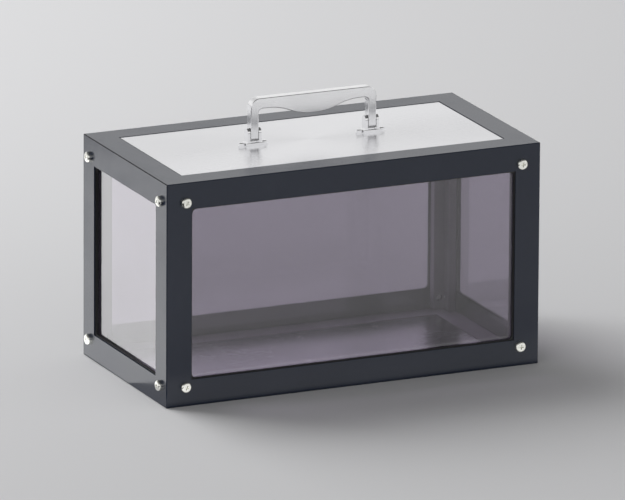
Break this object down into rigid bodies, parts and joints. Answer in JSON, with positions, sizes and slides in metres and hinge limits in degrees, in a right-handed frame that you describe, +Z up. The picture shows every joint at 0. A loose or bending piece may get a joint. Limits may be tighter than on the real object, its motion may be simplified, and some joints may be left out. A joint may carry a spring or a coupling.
{
  "type": "laboratory isolation box",
  "caption": "Windowed laboratory isolation box: dark screwed frame, clear walls on every side, lift-off metal lid with a folding chrome carrying handle.",
  "frame": {"origin": "under the middle of the box, on the surface that it stands on", "axes": "+Z up; +X along the length, to the right when the front is faced; the front faces -Y"},
  "size_m": [0.3614, 0.1894, 0.242],
  "materials": {
    "frame_coating": "dark slate-blue satin coating outside, grey satin coating on the inner faces",
    "clear_sheet": "hard-coated polycarbonate sheet with a smoky violet-grey tint",
    "black_rubber": "matt black rubber",
    "plate_metal": "satin stainless sheet",
    "post_metal": "grey satin coating on an extruded angle",
    "plated_screw": "bright zinc plating with a faint yellow tint",
    "handle_chrome": "chrome plating, bright on the brackets and satin on the handle"
  },
  "bodies": {
    "box": {"front_frame": "frame_coating", "front_window": "clear_sheet", "front_gasket": "black_rubber", "front_screws": "plated_screw", "rear_frame": "frame_coating", "rear_window": "clear_sheet", "rear_gasket": "black_rubber", "rear_screws": "plated_screw", "left_frame": "frame_coating", "left_window": "clear_sheet", "left_gasket": "black_rubber", "left_screws": "plated_screw", "right_frame": "frame_coating", "right_window": "clear_sheet", "right_gasket": "black_rubber", "right_screws": "plated_screw", "top_frame": "frame_coating", "bottom_frame": "frame_coating", "corner_post_front_left": "post_metal", "corner_post_front_right": "post_metal", "corner_post_rear_left": "post_metal", "corner_post_rear_right": "post_metal", "lid_seal": "black_rubber", "floor_seal": "black_rubber", "floor_plate": "plate_metal", "base_screws": "plated_screw"},
    "lid": {"lid_plate": "plate_metal", "handle_bracket_left": "handle_chrome", "handle_bracket_right": "handle_chrome", "handle_pin_left": "handle_chrome", "handle_pin_right": "handle_chrome", "bracket_screws": "handle_chrome", "bracket_nuts": "plated_screw"},
    "bail": {"handle_bail": "handle_chrome"}
  },
  "joints": [
    {"name": "lid_lift", "type": "slide", "parent": "box", "child": "lid", "axis": [0, 0, 1], "range_m": [0, 0.06]},
    {"name": "handle_fold", "type": "hinge", "parent": "lid", "child": "bail", "pos_m": [0, 0, 0.2113], "axis": [1, 0, 0], "range_deg": [-103, 103]}
  ]
}
